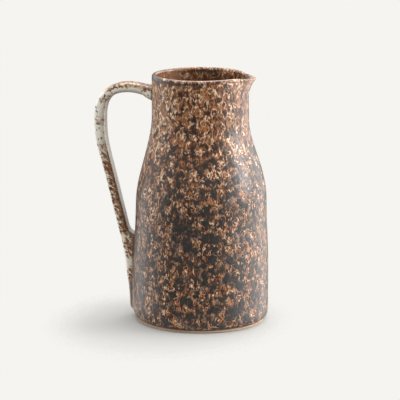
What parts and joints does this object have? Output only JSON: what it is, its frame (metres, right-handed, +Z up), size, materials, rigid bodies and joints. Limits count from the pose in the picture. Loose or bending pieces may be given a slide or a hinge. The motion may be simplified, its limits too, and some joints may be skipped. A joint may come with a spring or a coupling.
{
  "type": "stoneware carafe",
  "caption": "Thrown stoneware carafe with a straight neck, sloping shoulder, pinched pouring lip, bare foot ring and a tall strap handle luted to neck and belly",
  "frame": {"origin": "on the surface the carafe stands on, at the middle of its bounding box, between the handle's back and the belly's front", "axes": "+Z up through the mouth, +X toward the pouring lip, -X toward the handle"},
  "size_m": [0.1684, 0.1308, 0.24],
  "materials": {
    "brown_glaze": "satin glaze mottled in charcoal, rust brown and cream",
    "pale_glaze": "satin pale grey-cream glaze with rust-brown mottling",
    "bare_clay": "unglazed fired clay, matt",
    "slip": "fired slip, matt"
  },
  "bodies": {
    "root": {"pot": "brown_glaze", "foot_ring": "bare_clay", "handle": "pale_glaze", "upper_handle_slip": "slip", "lower_handle_slip": "slip"}
  },
  "joints": []
}
